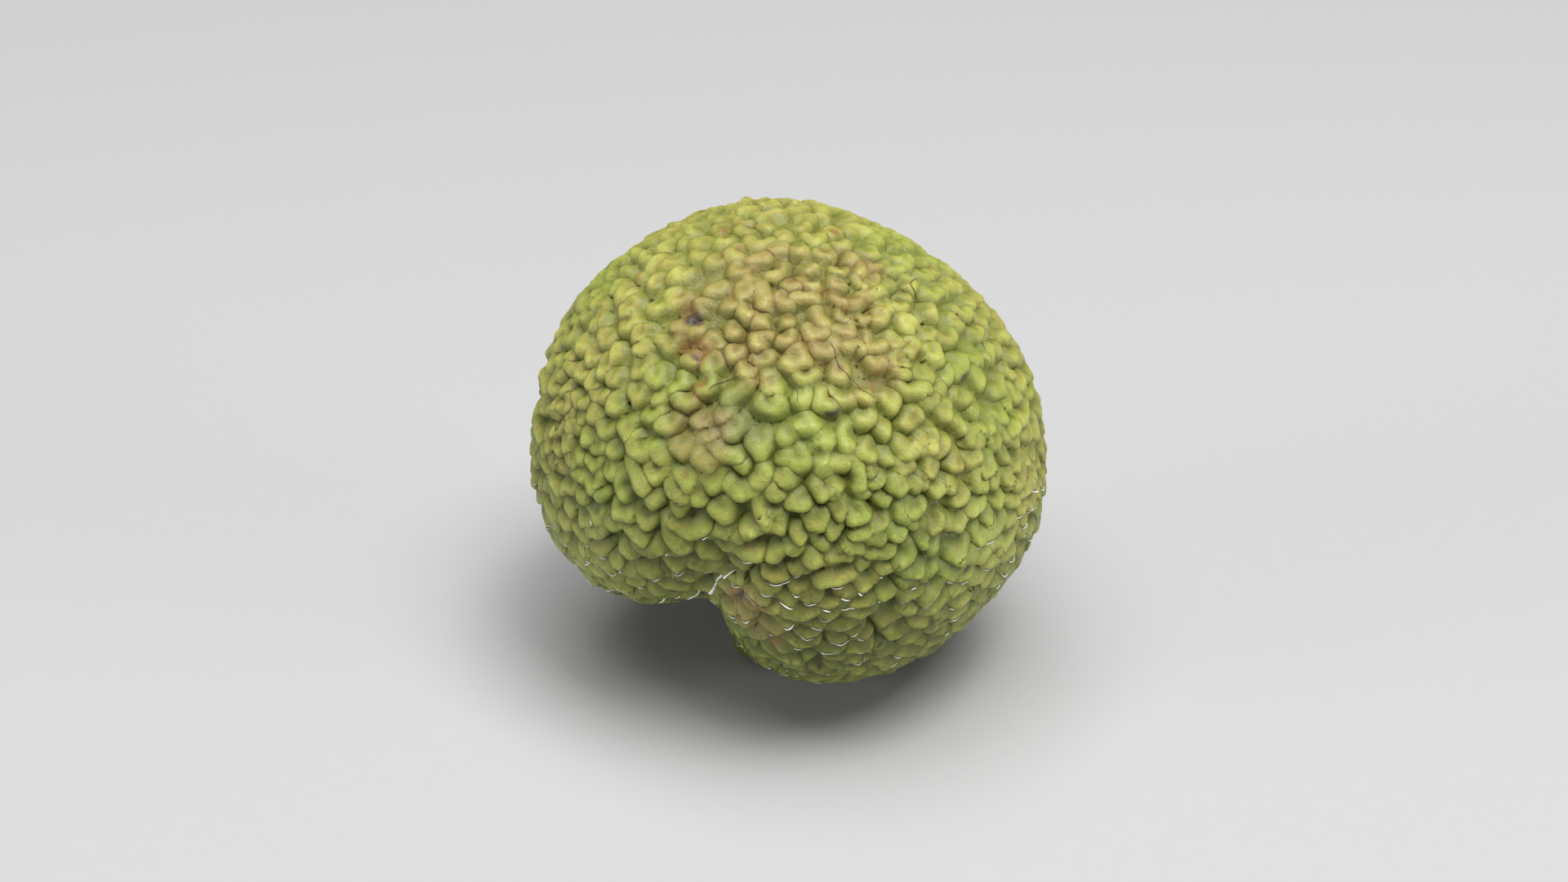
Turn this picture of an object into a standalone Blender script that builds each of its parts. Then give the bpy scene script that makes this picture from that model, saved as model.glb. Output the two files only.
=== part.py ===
"""Osage orange: one lopsided fruit, pebbled all over with florets, with a deep stem cleft.

Units are metres, with +Z up. The origin lies on the surface that the fruit rests on, below the
middle of its outline. Longitude 0 points along +X and longitude -90 to the front, along -Y, and
latitude 90 points up. The skin is worked out as a distance from the fruit's middle along each
direction, so it can be read off for any direction.
"""

import math

import bmesh
import bpy
import numpy as np

# The round body, measured over the tops of the florets. Its swellings bring it to 110 mm across.
BODY_RADIUS = 0.0540

# Swellings and flats of the body: longitude, latitude and reach in degrees, then height.
SWELLINGS = (
    (-10, -17, 16, 0.0018),
    (3, 4, 22, 0.0008),
    (41, 49, 30, -0.0031),
    (166, 23, 20, 0.0017),
    (-174, -10, 20, 0.0017),
    (-62, -57, 22, -0.0010),
)

# Line of the cleft, from the furrow's upper end in front, through the stem pit, to the saddle
# behind it: longitude, latitude, depth, and half width in degrees.
CLEFT_STATIONS = (
    (-106, 29, 0.0000, 6),
    (-105, 8, 0.0025, 8),
    (-117, -27, 0.0134, 14),
    (-135, -51, 0.0235, 16),
    (179, -66, 0.0120, 16),
)
CLEFT_STEPS = 60
CLEFT_SHARPNESS = 1.25
CLEFT_BLUNTING = 2.0

# Around the point straight below, the body keeps its full roundness out to the first angle and
# has its whole cleft past the second one.
SPOT_GUARD_ANGLES = (7, 24)

# The fruit's middle stands this high: lower than the body's radius, so a small spot is flat.
MIDDLE_HEIGHT = 0.0510

# Florets: how many, how far their tops stand above the creases, and how unequal they are.
FLORET_COUNT = 560
FLORET_RELIEF = 0.0021
FLORET_TOP_SPREAD = 0.0005
FLORET_SIZE_SPREAD = 0.22
SIZE_WAVES = ((113, 71, -39, 0.4), (-57, 93, 120, 2.1), (64, -118, 77, 4.0))
CANDIDATE_COUNT = 12000
RANDOM_SEED = 7

# Each floret is a dome on a foot that follows the creases. Its shoulder is a smaller copy of the
# foot, at this share of the foot's size and of the relief.
SHOULDER_SHARE = 0.62
SHOULDER_RISE = 0.74
SHORTEST_CREASE = 0.0005

RIND_COLOUR = (0.30, 0.34, 0.075, 1.0)
RIND_ROUGHNESS = 0.42
NODE_NAME = "osage_orange_fruit"


def direction(longitude, latitude):
    """Unit vector of a longitude and latitude in degrees."""
    turn = math.radians(longitude)
    rise = math.radians(latitude)
    return np.array((
        math.cos(rise) * math.cos(turn),
        math.cos(rise) * math.sin(turn),
        math.sin(rise),
    ))


def unit(vectors):
    """The same directions at length 1."""
    return vectors / np.linalg.norm(vectors, axis=-1, keepdims=True)


def angle_to(directions, axes):
    """Angle in degrees between every direction and every axis."""
    return np.degrees(np.arccos(np.clip(directions @ np.transpose(axes), -1.0, 1.0)))


def smooth_step(value, low, high):
    """0 below low, 1 above high, and a smooth rise between them."""
    share = np.clip((value - low) / (high - low), 0.0, 1.0)
    return share * share * (3.0 - 2.0 * share)


def cleft_line():
    """Directions along the cleft's line, with its depth and half width at each of them."""
    places = np.array([direction(station[0], station[1]) for station in CLEFT_STATIONS])
    depths = [station[2] for station in CLEFT_STATIONS]
    half_widths = [station[3] for station in CLEFT_STATIONS]
    last = len(places) - 1
    padded = np.vstack((2 * places[0] - places[1], places, 2 * places[last] - places[last - 1]))
    travel = np.linspace(0, last, CLEFT_STEPS)
    stretch = np.minimum(travel.astype(int), last - 1)
    share = (travel - stretch)[:, None]
    before, start, end, after = (padded[stretch + step] for step in range(4))
    line = start + 0.5 * share * (
        end - before
        + share * (2 * before - 5 * start + 4 * end - after)
        + share ** 2 * (3 * start - before - 3 * end + after)
    )
    stations = np.arange(last + 1)
    return unit(line), np.interp(travel, stations, depths), np.interp(travel, stations, half_widths)


def cleft_depth(directions):
    """How far the cleft sinks the skin: deepest on its line, falling off to both sides."""
    line, depths, half_widths = cleft_line()
    aside = angle_to(directions, line)
    aside = np.sqrt(aside ** 2 + CLEFT_BLUNTING ** 2) - CLEFT_BLUNTING
    sunk = (depths * np.exp(-(aside / half_widths) ** CLEFT_SHARPNESS)).max(axis=1)
    from_below = angle_to(directions, direction(0, -90))
    return sunk * smooth_step(from_below, *SPOT_GUARD_ANGLES)


def skin_radius(directions):
    """Distance from the fruit's middle to the tops of the florets, along each direction."""
    radius = np.full(len(directions), BODY_RADIUS)
    for longitude, latitude, reach, height in SWELLINGS:
        aside = angle_to(directions, direction(longitude, latitude))
        radius += height * np.exp(-(aside / reach) ** 2)
    return radius - cleft_depth(directions)


def floret_size(points):
    """Size of the florets at each point, as a share of their mean size."""
    waves = sum(
        np.sin(points @ np.array(wave[:3]) + wave[3])
        for wave in SIZE_WAVES
    )
    return 1.0 + FLORET_SIZE_SPREAD * waves / len(SIZE_WAVES)


def scatter_florets():
    """Directions of the florets' middles, spread evenly over the skin.

    Each new floret takes the candidate that lies farthest from all florets so far, measured in
    floret sizes.
    """
    random = np.random.default_rng(RANDOM_SEED)
    candidates = unit(random.normal(size=(CANDIDATE_COUNT, 3)))
    points = candidates * skin_radius(candidates)[:, None]
    sizes = floret_size(points)
    chosen = [0]
    nearest = np.linalg.norm(points - points[0], axis=1)
    while len(chosen) < FLORET_COUNT:
        newest = int(np.argmax(nearest / sizes))
        chosen.append(newest)
        nearest = np.minimum(nearest, np.linalg.norm(points - points[newest], axis=1))
    return candidates[chosen]


def crease_net(florets):
    """Mesh on the unit sphere with one flat cell for each floret, bounded by the creases.

    The corners of a cell are the middles of the triangles that join its floret to its
    neighbours, which the convex hull of all florets gives.
    """
    hull = bmesh.new()
    for place in florets:
        hull.verts.new(place)
    bmesh.ops.convex_hull(hull, input=hull.verts)
    bmesh.ops.recalc_face_normals(hull, faces=hull.faces)
    net = bmesh.new()
    corners = {}
    for face in hull.faces:
        face.normal_update()
        corners[face] = net.verts.new(face.normal)
    for floret in hull.verts:
        outward = floret.co.normalized()
        across = outward.orthogonal().normalized()
        along = outward.cross(across)
        around = sorted(
            floret.link_faces,
            key=lambda face: math.atan2(face.normal.dot(along), face.normal.dot(across)),
        )
        net.faces.new([corners[face] for face in around])
    hull.free()
    bmesh.ops.remove_doubles(net, verts=net.verts, dist=SHORTEST_CREASE / BODY_RADIUS)
    return net


def dome_florets(net):
    """Turn each cell into a dome: a foot on the creases, a shoulder ring and a top.

    The layer "rise" holds every vertex's rise as a share of the relief, 0 along the creases.
    """
    rise = net.verts.layers.float.new("rise")
    for cell in list(net.faces):
        foot = list(cell.verts)
        middle = cell.calc_center_median()
        shoulder = [net.verts.new(middle.lerp(corner.co, SHOULDER_SHARE)) for corner in foot]
        for vertex in shoulder:
            vertex[rise] = SHOULDER_RISE
        top = net.verts.new(middle)
        top[rise] = 1.0
        net.faces.remove(cell)
        for index in range(len(foot)):
            following = (index + 1) % len(foot)
            net.faces.new((foot[index], foot[following], shoulder[following], shoulder[index]))
            net.faces.new((shoulder[index], shoulder[following], top))
    bmesh.ops.triangulate(net, faces=net.faces)


def place_vertices(net):
    """Move the vertices from the unit sphere to the skin, and flatten the resting spot."""
    random = np.random.default_rng(RANDOM_SEED + 1)
    rise = net.verts.layers.float["rise"]
    rises = np.array([vertex[rise] for vertex in net.verts])
    directions = unit(np.array([vertex.co[:] for vertex in net.verts]))
    depths = FLORET_RELIEF * (1.0 - rises) + FLORET_TOP_SPREAD * rises * random.random(len(rises))
    points = directions * (skin_radius(directions) - depths)[:, None]
    points[:, 2] = np.maximum(points[:, 2] + MIDDLE_HEIGHT, 0.0)
    for vertex, point in zip(net.verts, points):
        vertex.co = point


def rind_material():
    """Yellow-green satin rind."""
    material = bpy.data.materials.new("osage_orange_rind")
    material.use_nodes = True
    shader = material.node_tree.nodes["Principled BSDF"]
    shader.inputs["Base Color"].default_value = RIND_COLOUR
    shader.inputs["Roughness"].default_value = RIND_ROUGHNESS
    shader.inputs["Metallic"].default_value = 0.0
    return material


def build_fruit():
    """The whole fruit as one closed mesh object."""
    net = crease_net(scatter_florets())
    dome_florets(net)
    place_vertices(net)
    mesh = bpy.data.meshes.new(NODE_NAME)
    net.to_mesh(mesh)
    net.free()
    mesh.shade_smooth()
    mesh.materials.append(rind_material())
    fruit = bpy.data.objects.new(NODE_NAME, mesh)
    bpy.context.scene.collection.objects.link(fruit)
    return fruit


def main():
    for leftover in list(bpy.data.objects):
        bpy.data.objects.remove(leftover, do_unlink=True)
    build_fruit()


main()
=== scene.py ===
"""The finished look of an osage orange: its pebbled rind, dried styles, painted highlights, and a studio.

Lengths are in metres and angles in degrees. Longitude 0 points along +X and longitude -90 to the
front, along -Y, and latitude 90 points up.
"""

import math
from collections import namedtuple

import bpy
import numpy as np
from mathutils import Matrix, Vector


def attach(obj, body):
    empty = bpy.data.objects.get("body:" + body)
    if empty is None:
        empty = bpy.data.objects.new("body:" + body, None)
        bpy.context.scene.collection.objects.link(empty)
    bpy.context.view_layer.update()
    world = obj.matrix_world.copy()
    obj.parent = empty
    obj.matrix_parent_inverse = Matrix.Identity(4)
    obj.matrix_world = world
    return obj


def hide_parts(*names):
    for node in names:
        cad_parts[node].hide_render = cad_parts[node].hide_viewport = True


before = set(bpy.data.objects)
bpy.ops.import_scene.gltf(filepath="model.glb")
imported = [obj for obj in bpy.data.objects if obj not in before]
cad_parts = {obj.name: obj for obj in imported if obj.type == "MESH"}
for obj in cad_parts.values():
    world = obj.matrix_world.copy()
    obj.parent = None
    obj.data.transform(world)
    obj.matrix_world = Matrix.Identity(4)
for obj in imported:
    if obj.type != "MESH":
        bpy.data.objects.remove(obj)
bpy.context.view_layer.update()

bl_info = {
    "name": "Osage Orange",
    "version": (1, 0, 0),
    "blender": (4, 5, 0),
    "location": "3D View > Sidebar > Osage Orange",
    # What is laid along the lobes' lower edges is white slivers of painted highlight.
    "description": "Grows a pebbled osage orange with dried styles and milk, and sets a studio round it",
    "category": "Add Mesh",
}

FRUIT_NODE = "osage_orange_fruit"
BODY = "root"

# Body of the fruit, the same as its solid's: the round body over the tops of the florets, its
# swellings (longitude, latitude, reach, height), and the stations of the cleft's line
# (longitude, latitude, depth, half width). Below them stand the steps along that line, how
# sharply the cleft falls off and how blunt its bottom is, the angles from straight below between
# which it comes in, and the fruit's middle above the floor.
BODY_RADIUS = 0.0540
SWELLINGS = (
    (-10, -17, 16, 0.0018),
    (3, 4, 22, 0.0008),
    (41, 49, 30, -0.0031),
    (166, 23, 20, 0.0017),
    (-174, -10, 20, 0.0017),
    (-62, -57, 22, -0.0010),
)
CLEFT_STATIONS = (
    (-106, 29, 0.0000, 6),
    (-105, 8, 0.0025, 8),
    (-117, -27, 0.0134, 14),
    (-135, -51, 0.0235, 16),
    (179, -66, 0.0120, 16),
)
CLEFT_STEPS = 60
CLEFT_SHARPNESS = 1.25
CLEFT_BLUNTING = 2.0
SPOT_GUARD_ANGLES = (7, 24)
MIDDLE = np.array((0.0, 0.0, 0.0510))

# The step by which the skin's slope is read, and a direction along no axis that tangents are
# crossed from.
SKIN_STEP = 0.00005
OFF_AXIS = (0.31, -0.17, 0.53)

# Seeds of the random draws and of the noises. A noise of vectors takes the next two as well.
PLACE_SEED = 7
LOBE_SEED = 9
STYLE_SEED = 10
PALENESS_SEED = 11
HIGHLIGHT_SEED = 12
HIGHLIGHT_WIDTH_SEED = 13
RIPPLE_SEED = 17
WARP_SEED = 27
FINE_WARP_SEED = 37
STYLE_WAVE_SEED = 57
SOFTNESS_SEED = 67

# Noise: how many random values its lattice repeats, and the primes that pick one of them for
# each corner of the lattice.
LATTICE_VALUES = 4096
LATTICE_PRIMES = (73856093, 19349663, 83492791)

# Divisors are kept at least so large.
TINY = 1e-9

# Lobes: how unequal they are and the waves over the fruit that make them so, how many places they
# are picked from, how much closer they lie up and down than sideways (on the upper and on the
# lower half), how far each is shoved aside afterwards, how many of them are weighed at a point,
# and into how many parts the points are split for it.
LOBE_SIZE_SPREAD = 0.22
SIZE_WAVES = ((113, 71, -39, 0.4), (-57, 93, 120, 2.1), (64, -118, 77, 4.0))
CANDIDATE_COUNT = 20000
UPRIGHT_STRETCHES = (1.15, 1.35)
JITTER = 0.0005
NEAR_LOBES = 10
PARTS = 16

# Spine of a lobe, bent like a bow that opens uphill: its shortest length as a share of the
# longest, how far it leans from level, how far its two halves are raised and how unequally, in
# radians, and how far above its middle the style pit lies.
SHORTEST_SPINE = 0.20
SPINE_LEAN = 0.90
SPINE_BEND = 0.85
SPINE_BEND_SPREAD = 0.45
NOTCH_PLACE = 0.0015

# The lower side, over a span of the normal's slope, counted down. There the spines lean and bend
# less and are longer, and the lobes have steeper sides and overlap more, so many times.
LOWER_SPAN = (-0.45, 0.25)
LOWER_LEAN = 0.25
LOWER_BEND = 0.35
LOWER_LENGTH = 1.45
LOWER_POWER = 1.35
LOWER_SHINGLING = 2.0

# Sides of a lobe: the power at which they fall, how far they are pushed about by a coarse and by
# a fine noise, and the height of the ripple on them, each with the size of its noise's cells.
SIDE_POWER = 2.4
WARP = 0.0008
WARP_CELL = 0.0040
FINE_WARP = 0.00018
FINE_WARP_CELL = 0.0017
RIPPLE_HEIGHT = 0.00016
RIPPLE_CELL = 0.0018

# Soft creases: how far the softest are filled up, the cells of the noise that softens some, its
# span from hard to soft, and the heights over the fruit's middle between which they come in. A
# crease that is filled up by less than the limit has sharp edges.
SOFTEST_CREASE = 0.00042
SOFTNESS_CELL = 0.0055
SOFTNESS_SPAN = (-0.35, 0.40)
SOFT_HEIGHTS = (-0.022, 0.004)
SHARP_LIMIT = 0.00012

# Relief: how high it may rise above the skin, how low it may sink and how deep its painted shade
# still gets darker, in reliefs, how rare strongly tinted style pits are, how unequally they sink,
# and the span of the normal's slope, counted down, over which the lobes come to sag.
HIGHEST_TOP = 0.0005
LOWEST_CREASE = 2.2
DARKEST_CREASE = 1.5
PIT_RARITY = 2.2
PIT_SINKS = (0.3, 1.0)
SAG_SPAN = (-0.9, 0.9)

# Grid of the rind: quads along each edge of the cube that is blown up into the fruit. What lies
# closer to a crease than the snap distance moves onto it, and up to the draw distance everything
# is drawn towards it, in a few rounds of steps of limited length.
GRID = 128
SNAP_DISTANCE = 0.00033
DRAW_DISTANCE = 0.0016
DRAW_ROUNDS = 4
LONGEST_DRAW = 0.0005

# Stains of the rind: longitude, latitude and reach in degrees, then strength.
OCHRE_PATCHES = (
    (-100, 61, 22, 1.0),
    (-121, 56, 12, 1.0),
    (-72, 54, 15, 0.9),
    (-47, 70, 12, 0.7),
    (-65, 43, 8, 0.8),
    (-113, 30, 10, 0.9),
    (-100, -12, 9, 1.0),
    (-179, 78, 9, 0.6),
    (58, 30, 15, 0.7),
    (142, -8, 12, 0.6),
    (95, 55, 9, 0.5),
)
BROWN_SPOTS = (
    (-121, 47, 4.6, 1.0),
    (-130, 55, 4.0, 0.7),
    (-115, 39, 4.0, 0.7),
    (-49, 45, 2.0, 0.8),
    (-64, 44, 2.2, 0.8),
    (-167, 54, 2.0, 0.8),
    (-103, -9, 4.6, 0.75),
    (-94, -21, 3.0, 0.8),
    (-169, 75, 2.2, 0.7),
    (-24, 79, 2.2, 0.7),
    (70, 24, 2.6, 0.9),
    (118, -22, 2.4, 0.8),
    (25, -35, 2.2, 0.8),
)
DARK_SPOTS = (
    (-127, 54, 2.6, 0.9),
    (-79, 37, 2.2, 1.0),
    (-120, 45, 2.2, 0.9),
    (-37, 36, 2.2, 0.8),
    (-53, 5, 1.8, 0.8),
    (-48, -6, 1.8, 0.8),
    (-102, -9, 2.6, 1.0),
    (-112, -13, 2.2, 0.9),
    (64, 27, 2.2, 0.9),
    (160, 40, 2.2, 0.8),
)
GREY_PATCHES = (
    (-105, 35, 9, 0.9),
    (-128, 55, 4, 0.7),
    (-38, 35, 4, 0.5),
    (-30, 28, 4, 0.5),
    (104, 12, 8, 0.6),
)
STEM_SCAR = ((-135, -51, 9, 1.0),)

# Painted shade: the lower side is painted a deeper green. Where it starts and is full, as sines of
# the latitude, counted down, and the patches in it where the painted shade is lifted.
SHADE_SPAN = (-0.75, 0.50)
LESS_SHADED_PATCHES = (
    (-36, 2, 26, 0.65),
    (-142, -14, 17, 0.70),
    (-101, -12, 10, 0.60),
)

# White slivers of painted highlight below the lower edges of the lobes: the share of the lobes
# that have them, and the latitudes where they start and are full.
HIGHLIGHT_SHARE = 0.88
HIGHLIGHT_LATITUDES = (13, -6)

# How a lobe's lower edge is found: half the widest fan of rays from its middle, each lobe's share
# of it and how far it turns aside, in radians, the number of rays, and how far each reaches in
# how many probes.
HIGHLIGHT_FAN = 1.10
HIGHLIGHT_FAN_SHARES = (0.55, 1.0)
HIGHLIGHT_FAN_TURN = 0.20
HIGHLIGHT_RAYS = 11
HIGHLIGHT_REACH = 0.0042
HIGHLIGHT_PROBES = 30

# Which edges are kept: the fewest probes that still lie on the lobe, how often an edge is
# smoothed, the widest gap in it, and the least ratio of its span to its length if it is whole.
FEWEST_HIGHLIGHT_STEPS = 4
HIGHLIGHT_SMOOTHINGS = 3
WIDEST_HIGHLIGHT_GAP = 0.0012
LEAST_STRAIGHTNESS = 0.91

# Shape of the slivers of painted highlight: their unequal widths and the width at their ends, as
# shares of the usual one, their thickness as a share of their width, and how far they lie above
# the relief and down the slope.
HIGHLIGHT_WIDTH_SHARES = (0.6, 1.4)
HIGHLIGHT_END = 0.25
HIGHLIGHT_THICKNESS = 0.45
HIGHLIGHT_LIFT = 0.00018
HIGHLIGHT_SLIP = 0.00026

# Known slivers of painted highlight at the tip of the cleft: where each starts and ends, and its
# share of the usual width.
KNOWN_HIGHLIGHTS = (
    (-131.0, -25.0, -123.0, -20.0, 1.5),
    (-124.0, -20.5, -115.0, -16.0, 2.2),
    (-116.5, -17.0, -109.0, -9.0, 2.8),
    (-109.0, -8.5, -104.0, -2.0, 1.8),
)

# Painted shadow: a lobe is darker just below the one that overhangs it. How level the crease
# between them must be, and how far down the painted shadow reaches.
OVERHANG_SHADOW_SPAN = (0.0, 0.7)
OVERHANG_SHADOW_REACHES = (0.0002, 0.0026)

# Dried styles that the rind keeps in known places: where each starts and ends, and how far it
# bows aside as a share of its length.
KNOWN_STYLES = (
    (-77, 51, -68, 38, 0.06),
    (-92, 46, -88, 39, -0.15),
    (-14, 40, -24, 33, 0.10),
    (-24, 58, -30, 54, 0.60),
    (-112, 40, -104, 44, -0.10),
)

# All dried styles: steps along each and sides round it, over how many steps its heights are
# levelled, the cells of the noise that waves it, the unequal lengths and bows of those that are
# drawn by lot, and the taper, as shares of the length and of the radius.
STYLE_STEPS = 48
STYLE_SIDES = 7
STYLE_SPANS = 5
STYLE_WAVE_CELL = 0.0030
STYLE_LENGTHS = (0.5, 1.0)
STYLE_BOW_SPREAD = 0.15
STYLE_TAPER = ((0.0, 0.6), (0.1, 1.0), (0.8, 0.9), (1.0, 0.35))

# Lumps of the materials' noises, from coarse to fine, and the depths of their finest relief.
BROAD_LUMPS = 0.030
PATCHY_LUMPS = 0.0060
FIBRE_LUMPS = 0.0040
MOTTLE_LUMPS = 0.0014
BLOTCH_LUMPS = 0.0012
FRECKLE_LUMPS = 0.0011
STREAK_LUMPS = 0.0009
SPECKLE_LUMPS = 0.0006
GRAIN_LUMPS = 0.00030
RIND_BUMP = 0.00042
CRUST_BUMP = 0.00006
PAPER_BUMP = 0.00002

# How far from a crease its painted shade and its dark line of painted shade reach.
GAP_REACHES = (0.0001, 0.0008)
LINE_REACHES = (0.0, 0.00020)

# Marks on the rind: the value of its pattern at which each starts to cover what is below it, the
# value at which it is full, and how strongly it then covers.
Mark = namedtuple("Mark", "start full strength")
RIPE_MARK = Mark(0.32, 0.68, 1.00)
BLOTCH_MARK = Mark(0.45, 0.80, 0.50)
OCHRE_MARK = Mark(0.62, 1.00, 1.00)
GREY_MARK = Mark(0.50, 1.05, 0.42)
TOP_MARK = Mark(0.30, 0.70, 0.45)
RIM_MARK = Mark(0.85, 1.25, 1.00)
# Painted shade: the next two darken the creases and what lies just beside them.
HOLLOW_SHADE_MARK = Mark(0.35, 1.20, 1.00)
GAP_MARK = Mark(0.25, 0.80, 0.45)
PIT_MARK = Mark(0.30, 0.90, 1.00)
EDGE_MARK = Mark(0.40, 0.65, 0.60)
FRECKLE_MARK = Mark(0.69, 0.74, 0.40)
BROWN_MARK = Mark(0.45, 0.95, 1.00)
DARK_MARK = Mark(0.45, 0.90, 0.90)
SCAR_MARK = Mark(0.55, 1.00, 1.00)
STREAK_MARK = Mark(0.52, 0.66, 0.50)

# Sockets of a Mix node that mixes colours.
MIX_SHARE = 0
MIX_FIRST = 6
MIX_SECOND = 7
MIX_RESULT = 2

# Studio: the floor's side, where each light hangs (longitude, latitude, distance, size), and
# where the camera looks, from the fruit's middle.
FLOOR_SIDE = 6.0
KEY_PLACE = (-44, 66, 2.6, 1.2)
TOP_PLACE = (-120, 82, 2.6, 2.2)
LEFT_PLACE = (-162, 10, 2.4, 0.9)
RIGHT_PLACE = (-20, 4, 2.4, 0.9)
CAMERA_AIM = (-0.00105, 0.00045, 0.00078)
NEAREST_SIGHT = 0.01


def direction(longitude, latitude):
    """Unit vector of a longitude and latitude."""
    turn = math.radians(longitude)
    rise = math.radians(latitude)
    return np.array((
        math.cos(rise) * math.cos(turn),
        math.cos(rise) * math.sin(turn),
        math.sin(rise),
    ))


def unit(vectors):
    """The same directions at length 1."""
    return vectors / np.linalg.norm(vectors, axis=-1, keepdims=True)


def dot(first, second):
    """Product of two arrays of vectors, row by row, as one column."""
    return np.sum(first * second, axis=-1, keepdims=True)


def angle_to(directions, axes):
    """Angle between every direction and every axis."""
    return np.degrees(np.arccos(np.clip(directions @ np.transpose(axes), -1.0, 1.0)))


def smooth_step(value, low, high):
    """0 below low, 1 above high, and a smooth rise between them."""
    share = np.clip((value - low) / (high - low), 0.0, 1.0)
    return share * share * (3.0 - 2.0 * share)


def cleft_line():
    """Directions along the cleft's line, with its depth and half width at each of them.

    The line is a cubic curve through the stations, pushed out to the unit sphere. It passes each
    of them in the direction from the one before it to the one after it.
    """
    places = np.array([direction(station[0], station[1]) for station in CLEFT_STATIONS])
    depths = [station[2] for station in CLEFT_STATIONS]
    half_widths = [station[3] for station in CLEFT_STATIONS]
    last = len(places) - 1
    padded = np.vstack((2 * places[0] - places[1], places, 2 * places[last] - places[last - 1]))
    travel = np.linspace(0, last, CLEFT_STEPS)
    stretch = np.minimum(travel.astype(int), last - 1)
    share = (travel - stretch)[:, None]
    before, start, end, after = (padded[stretch + step] for step in range(4))
    line = start + 0.5 * share * (
        end - before
        + share * (2 * before - 5 * start + 4 * end - after)
        + share ** 2 * (3 * start - before - 3 * end + after)
    )
    stations = np.arange(last + 1)
    return unit(line), np.interp(travel, stations, depths), np.interp(travel, stations, half_widths)


def cleft_depth(directions):
    """How far the cleft sinks the skin: the largest of the line's depths, each falling off to its
    sides as e to the minus of the angle in half widths, and faded out round the resting spot."""
    line, depths, half_widths = cleft_line()
    aside = angle_to(directions, line)
    aside = np.sqrt(aside ** 2 + CLEFT_BLUNTING ** 2) - CLEFT_BLUNTING
    sunk = (depths * np.exp(-(aside / half_widths) ** CLEFT_SHARPNESS)).max(axis=1)
    from_below = angle_to(directions, direction(0, -90))
    return sunk * smooth_step(from_below, *SPOT_GUARD_ANGLES)


def skin_radius(directions):
    """Distance from the fruit's middle to the florets' tops: the round body's radius, plus a bell
    for each swelling, less the cleft's depth."""
    radius = np.full(len(directions), BODY_RADIUS)
    for longitude, latitude, reach, height in SWELLINGS:
        aside = angle_to(directions, direction(longitude, latitude))
        radius += height * np.exp(-(aside / reach) ** 2)
    return radius - cleft_depth(directions)


def skin_points(directions):
    """Points of the skin along the directions, counted from the fruit's middle."""
    return directions * skin_radius(directions)[:, None]


def skin_normals(directions):
    """Points of the skin with the outward normal at each.

    The normal is the cross product of the differences to the skin a small step away in two
    directions, turned outward.
    """
    across = unit(np.cross(directions, np.roll(directions, 1, axis=1) + OFF_AXIS))
    along = np.cross(directions, across)
    points = skin_points(directions)
    step = SKIN_STEP / BODY_RADIUS
    first = skin_points(unit(directions + step * across)) - points
    second = skin_points(unit(directions + step * along)) - points
    normal = unit(np.cross(second, first))
    return points, normal * np.sign(dot(normal, directions))


def lattice_noise(points, cell, seed):
    """Smooth noise from -1 to 1: random values on a cubic lattice, blended between its corners."""
    values = np.random.default_rng(seed).uniform(-1.0, 1.0, LATTICE_VALUES)
    scaled = points / cell
    low = np.floor(scaled).astype(np.int64)
    share = scaled - low
    share = share * share * (3.0 - 2.0 * share)
    total = np.zeros(len(points))
    for corner in np.ndindex(2, 2, 2):
        mixed = np.bitwise_xor.reduce((low + corner) * LATTICE_PRIMES, axis=1)
        weight = np.prod(np.where(corner, share, 1.0 - share), axis=1)
        total += weight * values[mixed % LATTICE_VALUES]
    return total


def noise_vectors(points, cell, seed):
    """Three independent noises as a vector at each point."""
    return np.stack([lattice_noise(points, cell, seed + axis) for axis in range(3)], axis=1)


def lobe_size(points):
    """Size of the lobes at each point, as a share of their mean size."""
    waves = sum(
        np.sin(points @ np.array(wave[:3]) + wave[3])
        for wave in SIZE_WAVES
    )
    return 1.0 + LOBE_SIZE_SPREAD * waves / len(SIZE_WAVES)


def scatter_lobes(count):
    """Directions of the lobes' middles, spread evenly over the skin.

    Each new lobe takes the candidate that lies farthest from all lobes so far, measured in lobe
    sizes, with upright distances stretched.
    """
    random = np.random.default_rng(PLACE_SEED)
    candidates = unit(random.normal(size=(CANDIDATE_COUNT, 3)))
    points = skin_points(candidates)
    sizes = lobe_size(points)
    points[:, 2] *= np.where(points[:, 2] > 0.0, *UPRIGHT_STRETCHES)
    chosen = [0]
    nearest = np.linalg.norm(points - points[0], axis=1)
    while len(chosen) < count:
        newest = int(np.argmax(nearest / sizes))
        chosen.append(newest)
        nearest = np.minimum(nearest, np.linalg.norm(points - points[newest], axis=1))
    shove = random.normal(0.0, JITTER / BODY_RADIUS, (count, 3))
    return unit(candidates[chosen] + shove)


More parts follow.
